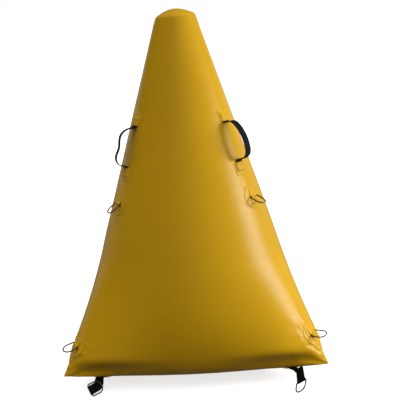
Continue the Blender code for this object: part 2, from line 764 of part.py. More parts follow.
def valve_ports(low, high):
    """The air ports, as one cutter of separate round pegs."""
    bm = bmesh.new()
    for k in range(PORT_COUNT):
        angle = 2 * math.pi * (k + 0.5) / PORT_COUNT
        spot = (PORT_CIRCLE * math.cos(angle), PORT_CIRCLE * math.sin(angle), (low + high) / 2)
        bmesh.ops.create_cone(
            bm, cap_ends=True, segments=10, radius1=PORT_RADIUS, radius2=PORT_RADIUS,
            depth=(high - low) + 0.004, matrix=Matrix.Translation(spot),
        )
    pegs = finished("valve_ports", bm, PLASTIC_LOOK)
    pegs.matrix_world = valve_frame()
    return pegs


def valve_cap(rim_top):
    """The cap plugs the valve's bore over a gasket, and a tether holds it."""
    gasket_low = rim_top + FIT_GAP
    gasket_top = gasket_low + GASKET_THICKNESS
    plate_low = gasket_top + FIT_GAP
    plate_top = plate_low + CAP_THICKNESS
    neck_top = plate_top + KNOB_NECK_HEIGHT
    skirt = BODY_BORE_RADIUS - FIT_GAP
    turned(
        "valve_cap",
        [(0.0, neck_top + KNOB_HEAD_THICKNESS), (KNOB_HEAD_RADIUS, neck_top + KNOB_HEAD_THICKNESS),
         (KNOB_HEAD_RADIUS, neck_top), (KNOB_NECK_RADIUS, neck_top), (KNOB_NECK_RADIUS, plate_top),
         (CAP_RADIUS, plate_top), (CAP_RADIUS, plate_low), (skirt, plate_low),
         (skirt, plate_low - CAP_SKIRT_DEPTH), (skirt - CAP_SKIRT_WALL, plate_low - CAP_SKIRT_DEPTH),
         (skirt - CAP_SKIRT_WALL, plate_low), (0.0, plate_low)],
        PLASTIC_LOOK, steps=32, lobes=CAP_LOBES, lobe_depth=CAP_LOBE_DEPTH,
    )
    turned(
        "valve_cap_gasket",
        [(GASKET_OUTER_RADIUS, gasket_top), (GASKET_OUTER_RADIUS, gasket_low),
         (GASKET_INNER_RADIUS, gasket_low), (GASKET_INNER_RADIUS, gasket_top)],
        RUBBER_LOOK,
    )
    tether(plate_top)


def tether(plate_top):
    """An eye round the cap's knob and a strap from it to a foot on the bag."""
    middle = plate_top + FIT_GAP + TETHER_THICKNESS / 2
    inner = KNOB_NECK_RADIUS + FIT_GAP
    outer = inner + TETHER_EYE_WALL
    eye = turned(
        "valve_cap_tether",
        [(outer, middle + TETHER_THICKNESS / 2), (outer, middle - TETHER_THICKNESS / 2),
         (inner, middle - TETHER_THICKNESS / 2), (inner, middle + TETHER_THICKNESS / 2)],
        RUBBER_LOOK,
    )
    frame = valve_frame()
    seat = Seat(VALVE_FACE, VALVE_HEIGHT)
    foot_skin = (frame.inverted() @ seat.skin(TETHER_REACH, 0.0)).z
    foot = foot_skin + SKIN_GAP + TETHER_THICKNESS / 2
    start = outer - TETHER_EYE_WALL / 2
    knee = BASE_RIM_RADIUS + 0.005
    points = [
        (start, middle), (CAP_RADIUS - 0.002, middle), (CAP_RADIUS + 0.003, middle),
        (knee, (middle + foot) / 2), (knee + 0.004, foot + 0.0008), (knee + 0.008, foot + 0.0006),
        (TETHER_REACH, foot),
    ]
    path = smooth_curve([Vector((x, 0, z)) for x, z in points], 2)
    bm = bmesh.new()
    ribbon(bm, path, [Vector((0, 1, 0))] * len(path), TETHER_THICKNESS * 0.98, TETHER_WIDTH)
    strap = finished("valve_tether_strap", bm, RUBBER_LOOK)
    strap.matrix_world = frame
    unite(eye, strap)


def main():
    for old in list(bpy.data.objects):
        bpy.data.objects.remove(old, do_unlink=True)
    envelope()
    for side in RIDGES:
        handle(side)
        handle_cover(side, "top")
        handle_cover(side, "bottom")
        ridge_ring(side, "upper", UPPER_RING_HANG[side])
        ridge_ring(side, "lower", LOWER_RING_HANG[side])
        base_strap(side)
    valve()


main()
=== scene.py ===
"""Looks of the regatta mark buoy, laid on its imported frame.

Units are metres and +Z is up. The bag's corners are front left, front right and back; the front faces -Y.
"""

import math

import bmesh
import bpy
import numpy as np
from mathutils import Matrix, Vector

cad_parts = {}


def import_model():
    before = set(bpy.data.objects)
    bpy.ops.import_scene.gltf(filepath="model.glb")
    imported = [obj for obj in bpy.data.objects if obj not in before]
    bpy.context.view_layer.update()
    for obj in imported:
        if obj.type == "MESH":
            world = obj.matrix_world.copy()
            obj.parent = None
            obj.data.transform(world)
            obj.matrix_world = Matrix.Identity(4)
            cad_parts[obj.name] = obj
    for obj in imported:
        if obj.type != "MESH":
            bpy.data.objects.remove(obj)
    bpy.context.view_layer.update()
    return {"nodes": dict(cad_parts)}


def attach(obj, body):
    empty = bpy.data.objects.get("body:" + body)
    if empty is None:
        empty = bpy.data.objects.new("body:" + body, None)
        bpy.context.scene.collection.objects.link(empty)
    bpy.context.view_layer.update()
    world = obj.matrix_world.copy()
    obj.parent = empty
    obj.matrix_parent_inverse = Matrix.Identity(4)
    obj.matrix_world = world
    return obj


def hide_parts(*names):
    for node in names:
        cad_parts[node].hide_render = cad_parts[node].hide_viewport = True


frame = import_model()

# The bag's form, as in the CAD
SHOULDER_HEIGHT = 1.479
SHOULDER_RADIUS = 0.081
CROWN_RISE = 0.026
CORNER_RADIUS = 0.622
CORNER_HEIGHT = 0.072
SEAM_RADIUS = 0.310
SEAM_HEIGHT = 0.060
REST_SHARE = 0.50
BELLY_POWER = 1.15
RIDGE_CONE_RADIUS = 0.530
RIDGE_FLARE_START = 0.677
RIDGE_FLARE_POWER = 1.34
FACE_CONE_RADIUS = 0.508
FACE_CURL_START = 0.62
ROUND_POWER = 1.98
ROUND_GAIN = 0.69
ROUND_GAIN_FROM = 0.60
ROUND_GAIN_OVER = 0.35
SEAM_SHARPNESS = 60.0
SEAM_SHARP_FROM = 0.90
RIDGES = {"left": 210.0, "right": 330.0, "back": 90.0}
FACES = np.radians((270.0, 30.0, 150.0))

# Fittings, as in the CAD
SKIN_GAP = 0.0005
FIT_GAP = 0.0003
STRAP_GAP = 0.0010
PATCH_SKIN = 0.0012
PATCH_RADIUS = 0.050
HANDLE_TOP = 1.048
HANDLE_BOTTOM = 0.894
HANDLE_ASIDE = {"left": 0.0, "right": -4.0, "back": 0.0}
HANDLE_LEAN = {"left": 13.0, "right": 0.0, "back": 0.0}
HANDLE_REACH = {"left": 0.050, "right": 0.063, "back": 0.060}
HANDLE_LEAN_FROM = 0.005
HANDLE_LEAN_OVER = 0.020
# Points of each handle's loop: share of half its height, down from its middle, and share of its reach, out
HANDLE_SHARES = {
    "left": (
        (-0.93, 0.26), (-0.79, 0.68), (-0.54, 0.97), (-0.28, 1.02), (-0.05, 0.94), (0.24, 0.88), (0.52, 1.01),
        (0.77, 0.99), (0.97, 0.74), (1.05, 0.44), (0.965, 0.055),
    ),
    "right": (
        (-0.99, 0.30), (-0.95, 0.58), (-0.56, 0.87), (-0.07, 1.02), (0.25, 1.03), (0.50, 1.01), (0.80, 0.93),
        (0.98, 0.64), (0.99, 0.35), (0.90, 0.05),
    ),
    "back": (
        (-0.94, 0.30), (-0.86, 0.66), (-0.50, 0.93), (0.0, 1.03), (0.45, 1.05), (0.80, 1.02), (1.04, 0.82),
        (1.06, 0.42), (0.963, 0.05),
    ),
}
WEBBING_WIDTH = 0.038
HANDLE_THICKNESS = 0.003
HANDLE_TAB = 0.036
HANDLE_CUP = 0.0012
COVER_WIDTH = 0.066
COVER_LENGTH = 0.052
WIRE_RADIUS = 0.00275
RING_WIDTH = 0.050
RING_LENGTH = 0.055
RING_CORNER = 0.006
BAR_CLEARANCE = 0.00035
KEEPER_WIDTH = 0.034
KEEPER_LENGTH = 0.060
KEEPER_SKIN = 0.0016
UPPER_RING_HEIGHT = 0.746
LOWER_RING_HEIGHT = 0.190
UPPER_RING_ASIDE = {"left": 0.0, "right": -1.0, "back": 0.0}
UPPER_RING_HANG = {"left": 52.0, "right": 42.0, "back": 47.0}
LOWER_RING_HANG = {"left": 44.0, "right": 30.0, "back": 37.0}
LOWER_RING_TURN = {"left": -14.0, "right": 14.0, "back": 0.0}
STRAP_ROOT = {"left": (-0.394, -0.290), "right": (0.394, -0.290), "back": (0.0541, 0.4862)}
STRAP_HEADING = {"left": 252.0, "right": 288.0, "back": 70.0}
STRAP_THICKNESS = 0.002
STRAP_TAB = 0.048
STRAP_DROP = 0.10
STRAP_PATCH_RADIUS = 0.036
STRAP_END_STRAIGHT = 0.046
STRAP_RETURN = 0.040
STRAP_BAR = {
    "left": (-0.428, -0.362, 0.0265), "right": (0.4205, -0.381, 0.032), "back": (0.087, 0.577, 0.016),
}
STRAP_BAR_LINE = {
    "left": (0.40, -0.25, -0.88), "right": (0.739, -0.355, 0.574), "back": (-0.940, 0.342, 0.0),
}
STRAP_RETURN_SIDE = {"left": (1.0, 0.0, 0.0), "right": (0.0, 0.0, -1.0), "back": (0.0, 0.0, -1.0)}
STRAP_RING_LINE = {
    "left": (0.906, -0.038, 0.422), "right": (-0.148, -0.9155, -0.3755), "back": (0.337, 0.925, -0.17),
}

# The cloth's own relief, in metres. A pucker is height, length, wander, length of the wander and its turn
SIDE_DROP = 1.42
SLANT = 1.05
CROWN_WELD = 0.0004
CROWN_RING = 0.0011
BASE_WELD = 0.0008
BROAD_WAVE = 0.0010
PUCKERS = ((0.0007, 0.0115, 1.7, 0.051, 1), (0.0006, 0.0231, 2.1, 0.087, 2))
CORNER_FOLD = 0.0018
PANEL_PUCKER = 0.0012
SHOULDER_SAG = 0.008
PATCH_WELD = 0.0004
# Folds round each ring: its height, their depth and their number
RING_FOLDS = ((LOWER_RING_HEIGHT, 0.0016, 11), (UPPER_RING_HEIGHT, 0.0007, 9))
HANDLE_SINK = 0.0009
HANDLE_CREASE = 0.0008
# Creases by each lower ring: from, to (metres across and up from its bar), depth and width
CREASES = (
    (0.034, 0.044, 0.040, -0.010, 0.0020, 0.0060),
    (0.052, 0.034, 0.055, -0.012, 0.0013, 0.0065),
    (0.052, -0.030, 0.008, -0.072, 0.0018, 0.0070),
)

# Camera, worked out from the bag's outline in the photograph
CAMERA_TURN = 2.847
CAMERA_DISTANCE = 4.059
CAMERA_HEIGHT = 1.6243
CAMERA_PITCH = 12.715
CAMERA_ROLL = 3.919
CAMERA_FOCUS = 985.6
CAMERA_CENTRE = (187.77, 200.21)
PICTURE = 400
SENSOR_WIDTH = 36.0

# Colours
YELLOW = (0.78, 0.44, 0.006)
DUST = (0.20, 0.12, 0.03)
PATCH_YELLOW = (0.80, 0.455, 0.009)
PATCH_DUST = (0.22, 0.13, 0.03)
BLACK = (0.005, 0.005, 0.006)
WORN_BLACK = (0.022, 0.022, 0.025)
BRIGHT_WIRE = (0.24, 0.24, 0.245)
DULL_WIRE = (0.16, 0.16, 0.165)
GREY = (0.10, 0.10, 0.105)
RUBBER_BLACK = (0.018, 0.018, 0.020)

# Weaves: metres from one thread, cord or rib to the next
THREAD_PITCH = 0.0011
CORD_PITCH = 0.0024
RIB_PITCH = 0.0021

# Light: the sky's strength low and high, towards where it is brightest, and as the bag mirrors it
SKY_LOW = 0.0
SKY_HIGH = 1.10
SKY_LEAN = (0.22, -0.08, 1.0)
SKY_MIRRORED = 0.04
HORIZON_MIRRORED = 0.80
SKY_LOW_COLOUR = (1.0, 0.84, 0.45)
# The floor as it lights the bag, as the camera sees it and as the bag mirrors it. It glows in the last two
FLOOR_LIT = (0.06, 0.06, 0.06)
FLOOR_SEEN = (0.93, 0.93, 0.93)
FLOOR_MIRRORED = (0.16, 0.15, 0.13)
FLOOR_GLOW = 0.74
FLOOR_MIRRORED_GLOW = 0.12
LAMP_PLACE = (4.2, -0.3, 1.4)
LAMP_AIM = (0.0, 0.0, 0.75)
LAMP_SIZE = (1.8, 1.2)
LAMP_WATTS = 100.0


def unit(v):
    """Vectors scaled to length 1 along the last axis."""
    return v / np.linalg.norm(v, axis=-1, keepdims=True)


def smooth_step(t):
    """0 before 0, 1 after 1, and 3t^2 - 2t^3 between."""
    t = np.clip(t, 0.0, 1.0)
    return t * t * (3 - 2 * t)


def bump(t):
    """A bell: 1 at 0 and nearly nothing past 2."""
    return np.exp(-t * t)


def ridge_share(phi, power):
    """0 at the middle of a face and 1 on a ridge: the radius of a power sum of the three faces' cosines."""
    cosines = np.maximum(np.cos(phi[..., None] - FACES), 1e-9)
    total = np.sum(cosines ** power[..., None], axis=-1)
    return (total ** (-1 / power) - 1) / (2 * 2 ** (-1 / power) - 1)


def section_power(s):
    """Rounds at the top, three-cornered lower down, and a sharp triangle at the seam."""
    rounding = np.clip((s - ROUND_GAIN_FROM) / ROUND_GAIN_OVER, 0.0, 1.0)
    seam = np.maximum(0.0, (s - SEAM_SHARP_FROM) / (1 - SEAM_SHARP_FROM))
    return ROUND_POWER + ROUND_GAIN * rounding + SEAM_SHARPNESS * seam ** 6


def side_radius(phi, s):
    """Radius between two cones: the face's curls in to the seam in a quarter ellipse, the ridge's flares."""
    curl = np.maximum(0.0, (s - FACE_CURL_START) / (1 - FACE_CURL_START))
    flare = np.maximum(0.0, (s - RIDGE_FLARE_START) / (1 - RIDGE_FLARE_START))
    face = SHOULDER_RADIUS + (FACE_CONE_RADIUS - SHOULDER_RADIUS) * s
    face = face - (FACE_CONE_RADIUS - SEAM_RADIUS) * (1 - np.sqrt(np.maximum(0.0, 1 - curl * curl)))
    ridge = SHOULDER_RADIUS + (RIDGE_CONE_RADIUS - SHOULDER_RADIUS) * s
    ridge = ridge + (CORNER_RADIUS - RIDGE_CONE_RADIUS) * flare ** RIDGE_FLARE_POWER
    return face + (ridge - face) * ridge_share(phi, section_power(s))


def seam_height(phi):
    """Height of the base seam: lowest at a face's middle and highest at a corner."""
    sharp = np.full(np.shape(phi), SEAM_SHARPNESS)
    return SEAM_HEIGHT + (CORNER_HEIGHT - SEAM_HEIGHT) * ridge_share(phi, sharp)


def side_height(phi, s):
    """Height at share s of the way from the shoulder to the seam."""
    return SHOULDER_HEIGHT + (seam_height(phi) - SHOULDER_HEIGHT) * s


def side_share(phi, height):
    """The other way round: the share s at a height."""
    return (SHOULDER_HEIGHT - height) / (SHOULDER_HEIGHT - seam_height(phi))


def side(phi, s):
    """The smooth side: polar points at the side's radius and height."""
    radius = side_radius(phi, s)
    return np.stack((radius * np.cos(phi), radius * np.sin(phi), side_height(phi, s)), axis=-1)


def side_out(phi, s):
    """Outward direction of the smooth side: the cross product of its two slopes."""
    s = np.clip(s, 2e-4, 1 - 2e-4)
    round_it = side(phi + 1e-3, s) - side(phi - 1e-3, s)
    down_it = side(phi, s + 1e-4) - side(phi, s - 1e-4)
    return unit(np.cross(down_it, round_it))


def nearest_ridge(phi):
    """Angle from the nearest ridge, between -60 and 60 degrees, in radians."""
    return (phi - math.radians(30.0)) % math.radians(120.0) - math.radians(60.0)


def folds(phi, s):
    """How far the cloth stands off the smooth side: weld bands, soft waves, seam puckers and corner folds."""
    radius = side_radius(phi, s)
    off = nearest_ridge(phi)
    drop = (1 - s) * SIDE_DROP
    crown_weld = CROWN_WELD * (smooth_step((s - 0.0035) / 0.0016) - smooth_step((s - 0.0180) / 0.0030))
    waves = BROAD_WAVE * np.sin(3 * phi + 7 * s + 0.4) * np.sin(9.0 * s + 1.1) * bump((s - 0.55) / 0.35)
    along = off * radius
    pucker = sum(
        height * np.sin(along / length + wander * np.sin(along / wander_length + turn * phi))
        for height, length, wander, wander_length, turn in PUCKERS
    )
    pucker = pucker * bump(drop / 0.045) * smooth_step(drop / 0.012)
    pucker = pucker * (0.45 + 0.8 * smooth_step((radius - 0.33) / 0.2))
    base_weld = BASE_WELD * (smooth_step((drop - 0.001) / 0.002) - smooth_step((drop - 0.016) / 0.002))
    reach = np.hypot(along, drop * SLANT)
    heading = np.arctan2(along, drop + 0.004)
    fold = np.sin(heading * 9.0 + 0.8 * np.sin(reach * 31.0)) * smooth_step(reach / 0.03)
    corner = CORNER_FOLD * fold * bump(reach / 0.12) * smooth_step((np.abs(heading) - 0.10) / 0.25)
    return crown_weld + waves + pucker + base_weld + corner


def creases(across, up):
    """The creases: a bell of the distance from each line's segment, the same on both sides of the ridge."""
    total = np.zeros(across.shape)
    for x0, y0, x1, y1, depth, width in CREASES:
        run = np.array((x1 - x0, y1 - y0))
        share = ((np.abs(across) - x0) * run[0] + (up - y0) * run[1]) / (run @ run)
        share = np.clip(share, 0.0, 1.0)
        away = np.hypot(np.abs(across) - x0 - share * run[0], up - y0 - share * run[1])
        total = total - depth * bump(away / width) + 0.6 * depth * bump((away - 2.1 * width) / width)
    return total


def fitting_folds(phi, s):
    """Pulls in the cloth round each ring patch and handle: short folds that fan out from its edge."""
    total = np.zeros(np.broadcast(phi, s).shape)
    height = side_height(phi, s)
    radius = side_radius(phi, s)
    for ridge in RIDGES.values():
        turn = (phi - math.radians(ridge) + math.pi) % (2 * math.pi) - math.pi
        across = -turn * radius
        near = np.abs(turn) < math.radians(60)
        for level, depth, count in RING_FOLDS:
            up = (height - level) * SLANT
            reach = np.hypot(across, up)
            angle = np.arctan2(across, up)
            above = 0.35 + 0.65 * smooth_step((np.cos(angle) + 0.3) / 1.1)
            fan = np.cos(angle * count + 0.6 + ridge) * above
            edge = smooth_step((reach - 0.048) / 0.010) * bump((reach - 0.052) / 0.042)
            total = total + near * depth * fan * edge
            if level == LOWER_RING_HEIGHT:
                total = total + near * (creases(across, up) - 0.6 * depth * bump(reach / 0.075))
        for end in (HANDLE_TOP, HANDLE_BOTTOM):
            up = (height - end) * SLANT
            reach = np.hypot(across, up)
            total = total - near * HANDLE_SINK * bump(reach / 0.055)
            crease = bump((up + 0.030) / 0.006) * bump(across / 0.09)
            total = total - near * HANDLE_CREASE * crease * smooth_step((np.abs(across) - 0.034) / 0.02)
    return total


def shoulder_sag(phi, s):
    """How far the crown's edge droops on its left, where the top is softer."""
    return SHOULDER_SAG * np.maximum(0.0, -np.cos(phi)) ** 1.5 * (1 - smooth_step(s / 0.04))


def skin(phi, s):
    """The cloth: the smooth side moved out by all the folds, and down by the crown's droop."""
    cloth = side(phi, s) + side_out(phi, s) * (folds(phi, s) + fitting_folds(phi, s))[..., None]
    cloth[..., 2] -= shoulder_sag(phi, s)
    return cloth


def base_height(x, y):
    """Height of the base panel over the floor: flat in the middle, rising as a power to the seam."""
    phi = np.arctan2(y, x)
    share = np.hypot(x, y) / side_radius(phi, np.ones(np.shape(phi)))
    rise = np.maximum(0.0, (share - REST_SHARE) / (1 - REST_SHARE))
    return seam_height(phi) * rise ** BELLY_POWER


class Seat:
    """A place on the side with its own directions: out of the skin, down it and across it."""

    def __init__(self, azimuth, height, turn=0.0):
        self.phi = math.radians(azimuth)
        self.height = height
        phi = np.array([self.phi, self.phi, self.phi + 0.002])
        z = np.array([height, height - 0.002, height])
        self.point, below, beside = side(phi, side_share(phi, z))
        self.down = unit(below - self.point)
        self.out = unit(np.cross(beside - self.point, self.point - below))
        self.across = unit(np.cross(self.down, self.out))
        self.slope = (self.point[2] - below[2]) / np.linalg.norm(self.point - below)
        c, d = math.cos(math.radians(turn)), math.sin(math.radians(turn))
        self.turned_down = self.down * c + np.cross(self.out, self.down) * d
        self.turned_across = self.across * c + np.cross(self.out, self.across) * d

    def round_and_down(self, x, y):
        """The skin's own coordinates of the point x across and y down from here."""
        z = self.height - y * self.slope
        middle = np.full(np.shape(z), self.phi)
        phi = self.phi - x / side_radius(middle, side_share(middle, z))
        return phi, side_share(phi, z)

    def skin(self, x, y, lift=0.0):
        """The cloth's point there, lifted off it."""
        phi, s = self.round_and_down(x, y)
        return skin(phi, s) + side_out(phi, s) * np.asarray(lift)[..., None]

    def skin_rise(self, x, y):
        """How far the cloth lies over the flat frame here, at x, y of the turned frame."""
        spot = x[..., None] * self.turned_across + y[..., None] * self.turned_down
        phi, s = self.round_and_down(spot @ self.across, spot @ self.down)
        return (skin(phi, s) - self.point) @ self.out

    def place(self, x, y, h):
        """A point in the flat frame here: x across, y down and h out."""
        return (self.point + np.asarray(x)[..., None] * self.turned_across
                + np.asarray(y)[..., None] * self.turned_down + np.asarray(h)[..., None] * self.out)


def surface(name, points, wrap=True, round_trip=False, ends="none", uv=None):
    """A mesh from a grid of points, rows by columns.

    wrap joins the last column to the first, and round_trip the last row to the first. ends closes the first
    and last rows: "pole" with a fan to their middle, "strip" with a ladder across a flat loop.
    """
    rows, columns = points.shape[:2]
    index = np.arange(rows * columns).reshape(rows, columns)
    if wrap:
        index = np.concatenate((index, index[:, :1]), axis=1)
    if round_trip:
        index = np.concatenate((index, index[:1]), axis=0)
    quads = np.stack((index[:-1, :-1], index[:-1, 1:], index[1:, 1:], index[1:, :-1]), axis=-1).reshape(-1, 4)
    faces = [tuple(q) for q in quads.tolist()]
    vertices = points.reshape(-1, 3)
    if ends == "pole":
        for row, at in ((0, len(vertices)), (rows - 1, len(vertices) + 1)):
            ring = index[row].tolist()
            faces += [(a, b, at) for a, b in zip(ring[:-1], ring[1:])]
        vertices = np.concatenate((vertices, points[0].mean(0)[None], points[-1].mean(0)[None]))
    if ends == "strip":
        half = columns // 2
        for row in (0, rows - 1):
            ring = index[row, :columns].tolist()
            faces += [(ring[j], ring[j + 1], ring[-2 - j], ring[-1 - j]) for j in range(half - 1)]
    mesh = bpy.data.meshes.new(name)
    mesh.from_pydata(vertices.tolist(), [], faces)
    if uv is not None:
        flat = np.zeros((len(vertices), 2))
        flat[: rows * columns] = uv.reshape(-1, 2)
        if ends == "pole":
            flat[-2], flat[-1] = uv[0].mean(0), uv[-1].mean(0)
        corners = np.zeros(len(mesh.loops), dtype=np.int32)
        mesh.loops.foreach_get("vertex_index", corners)
        layer = mesh.uv_layers.new(name="Cloth")
        layer.data.foreach_set("uv", flat[corners].astype(np.float32).ravel())
    turn_out(mesh)
    mesh.shade_smooth()
    piece = bpy.data.objects.new(name, mesh)
    bpy.context.scene.collection.objects.link(piece)
    return piece


def turn_out(mesh):
    """Merges doubled points and turns every face outwards."""
    shape = bmesh.new()
    shape.from_mesh(mesh)
    bmesh.ops.remove_doubles(shape, verts=shape.verts, dist=1e-6)
    bmesh.ops.dissolve_degenerate(shape, edges=shape.edges, dist=1e-7)
    bmesh.ops.recalc_face_normals(shape, faces=shape.faces)
    shape.to_mesh(mesh)
    shape.free()


def dress(piece, finish, body, *nodes, slot=None):
    """Gives a piece its finish, its body and the CAD nodes that it stands for."""
    piece.data.materials.append(finish)
    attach(piece, body)
    if nodes:
        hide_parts(*nodes)


# Finishes


class Nodes:
    """Short ways to add and join nodes in a tree."""

    def __init__(self, tree):
        self.tree = tree

    def feed(self, socket, value):
        """Joins a socket to another's output, or sets its number or colour."""
        if isinstance(value, bpy.types.NodeSocket):
            self.tree.links.new(value, socket)
        else:
            socket.default_value = (*value, 1.0) if isinstance(value, tuple) else value

    def node(self, kind, *links, **values):
        """A node with its inputs joined in order and its named values set."""
        made = self.tree.nodes.new("ShaderNode" + kind)
        for key, value in values.items():
            if hasattr(made, key):
                setattr(made, key, value)
            else:
                made.inputs[key].default_value = value
        for socket, source in zip(made.inputs, links):
            self.tree.links.new(source, socket)
        return made

    def maths(self, operation, a, b=None, clamp=False):
        """The result of a maths node on one or two values."""
        made = self.tree.nodes.new("ShaderNodeMath")
        made.operation = operation
        made.use_clamp = clamp
        for socket, value in zip(made.inputs, (a, b)):
            if value is not None:
                self.feed(socket, value)
        return made.outputs[0]

    def span(self, value, low, high, to_low=0.0, to_high=1.0, smooth=False):
        """Maps value from low..high to to_low..to_high."""
        made = self.tree.nodes.new("ShaderNodeMapRange")
        made.interpolation_type = "SMOOTHSTEP" if smooth else "LINEAR"
        for socket, number in zip(made.inputs, (value, low, high, to_low, to_high)):
            self.feed(socket, number)
        return made.outputs[0]

    def blend(self, amount, first, second):
        """A mix of two colours."""
        made = self.tree.nodes.new("ShaderNodeMix")
        made.data_type = "RGBA"
        for socket, value in ((0, amount), (6, first), (7, second)):
            self.feed(made.inputs[socket], value)
        return made.outputs[2]

    def noise(self, place, scale, detail=3.0, rough=0.5):
        """Noise of 0..1 at a place."""
        return self.node("TexNoise", place, Scale=scale, Detail=detail, Roughness=rough).outputs["Fac"]


class Finish(Nodes):
    """A material of one Principled shader."""

    def __init__(self, name, **sockets):
        self.material = bpy.data.materials.new(name)
        self.material.use_nodes = True
        super().__init__(self.material.node_tree)
        self.shader = self.tree.nodes["Principled BSDF"]
        for key, value in sockets.items():
            self.use(key.replace("_", " "), value)

    def use(self, socket, value):
        """Gives a socket of the shader its value."""
        self.feed(self.shader.inputs[socket], value)

    def relief(self, height, depth, strength=1.0):
        """Bump from a height of 0..1 that is depth metres deep."""
        made = self.tree.nodes.new("ShaderNodeBump")
        made.inputs["Strength"].default_value = strength
        made.inputs["Distance"].default_value = depth
        self.tree.links.new(height, made.inputs["Height"])
        previous = self.shader.inputs["Normal"]
        if previous.is_linked:
            self.tree.links.new(previous.links[0].from_socket, made.inputs["Normal"])
        self.tree.links.new(made.outputs[0], previous)


def shaded(colour, by, plus=0.0):
    """A colour times a factor, plus a little, and no more than 1."""
    return tuple(min(1.0, c * by + plus) for c in colour)


def coated_cloth(name, colour, soiled, roughness):
    """Coated cloth: the weave shows faintly through a glossy coat, with scuffs, and dust towards the base."""
    f = Finish(name, Specular_IOR_Level=0.20)
    place = f.node("TexCoord").outputs["Object"]
    uv = f.node("UVMap", uv_map="Cloth").outputs[0]
    broad = f.noise(place, 2.3, 3.0)
    fine = f.noise(place, 38.0, 4.0)
    tone = f.blend(f.span(broad, 0.35, 0.65), shaded(colour, 0.95), shaded(colour, 1.04))
    height = f.node("SeparateXYZ", place).outputs[2]
    low = f.span(height, 0.0, 0.16, 1.0, 0.0, smooth=True)
    grime = f.maths("MULTIPLY", low, f.span(f.noise(place, 11.0, 5.0), 0.42, 0.72))
    dusty = f.blend(f.maths("MULTIPLY", grime, 0.5), tone, soiled)
    streaks = f.node("Mapping", place, Scale=(9.0, 9.0, 55.0)).outputs[0]
    scuffed = f.span(f.noise(streaks, 1.0, 5.0, 0.6), 0.60, 0.72)
    f.use("Base Color", f.blend(f.maths("MULTIPLY", scuffed, 0.10), dusty, shaded(colour, 1.1, 0.02)))
    rough = f.span(fine, 0.3, 0.7, roughness - 0.03, roughness + 0.04)
    f.use("Roughness", f.maths("ADD", rough, f.maths("MULTIPLY", scuffed, 0.08), clamp=True))
    threads = f.node("SeparateXYZ", uv)
    warp = f.maths("SINE", f.maths("MULTIPLY", threads.outputs[0], 2 * math.pi / THREAD_PITCH))
    weft = f.maths("SINE", f.maths("MULTIPLY", threads.outputs[1], 2 * math.pi / THREAD_PITCH))
    f.relief(f.span(f.maths("MULTIPLY", warp, weft), -1.0, 1.0), 0.00003, 0.5)
    f.relief(f.noise(place, 190.0, 2.0), 0.00008, 0.35)
    f.relief(broad, 0.0012, 0.35)
    return f.material


def webbing_cloth():
    """Woven black webbing: cords along it, ribs across it in a twill, and paler worn high spots."""
    f = Finish("black_webbing", Specular_IOR_Level=0.15, Sheen_Weight=0.04, Sheen_Roughness=0.5)
    uv = f.node("SeparateXYZ", f.node("UVMap", uv_map="Cloth").outputs[0])
    along, across = uv.outputs[0], uv.outputs[1]
    step = f.maths("FLOOR", f.maths("DIVIDE", across, CORD_PITCH))
    stagger = f.maths("MULTIPLY", f.maths("MODULO", step, 2.0), 0.5)
    ribs = f.maths("ADD", f.maths("DIVIDE", along, RIB_PITCH), stagger)
    rib = f.maths("SINE", f.maths("MULTIPLY", ribs, 2 * math.pi))
    cord = f.maths("ABSOLUTE", f.maths("SINE", f.maths("MULTIPLY", across, 2 * math.pi / CORD_PITCH)))
    weave = f.maths("ADD", f.span(rib, -1.0, 1.0, 0.0, 0.6), f.span(cord, 0.0, 1.0, 0.0, 0.4))
    place = f.node("TexCoord").outputs["Object"]
    wear = f.span(f.noise(place, 60.0, 4.0), 0.5, 0.75)
    high = f.maths("MULTIPLY", f.span(weave, 0.6, 1.0), wear)
    f.use("Base Color", f.blend(f.maths("MULTIPLY", high, 0.6), BLACK, WORN_BLACK))
    f.use("Roughness", f.span(weave, 0.0, 1.0, 0.85, 0.62))
    f.relief(weave, 0.0005, 0.8)
    return f.material


def ring_steel():
    """Drawn stainless wire: fine scratches, and duller patches where shackles rub."""
    f = Finish("ring_steel", Metallic=1.0)
    place = f.node("TexCoord").outputs["Object"]
    dull = f.span(f.noise(place, 45.0, 4.0), 0.45, 0.7)
    f.use("Base Color", f.blend(dull, BRIGHT_WIRE, DULL_WIRE))
    scratch = f.noise(f.node("Mapping", place, Scale=(400.0, 400.0, 60.0)).outputs[0], 1.0, 2.0)
    rough = f.span(dull, 0.0, 1.0, 0.20, 0.38)
    f.use("Roughness", f.maths("ADD", rough, f.span(scratch, 0.3, 0.7, 0.0, 0.06)))
    f.relief(scratch, 0.00004, 0.4)
    return f.material


def moulded_plastic(name, colour, roughness):
    """Moulded nylon or rubber: a fine grain, cloudy in tone and gloss."""
    f = Finish(name, Specular_IOR_Level=0.45)
    place = f.node("TexCoord").outputs["Object"]
    grain = f.noise(place, 900.0, 2.0)
    cloud = f.noise(place, 30.0, 3.0)
    f.use("Base Color", f.blend(f.span(cloud, 0.3, 0.7), shaded(colour, 0.85), shaded(colour, 1.15)))
    f.use("Roughness", f.span(cloud, 0.3, 0.7, roughness - 0.05, roughness + 0.08))
    f.relief(grain, 0.00008, 0.5)
    return f.material


BAG_CLOTH = coated_cloth("bag_cloth", YELLOW, DUST, 0.31)
PATCH_CLOTH = coated_cloth("patch_cloth", PATCH_YELLOW, PATCH_DUST, 0.33)
WEBBING = webbing_cloth()
STEEL = ring_steel()
VALVE_PLASTIC = moulded_plastic("valve_plastic", GREY, 0.42)
RUBBER = moulded_plastic("soft_rubber", RUBBER_BLACK, 0.66)


# Bag


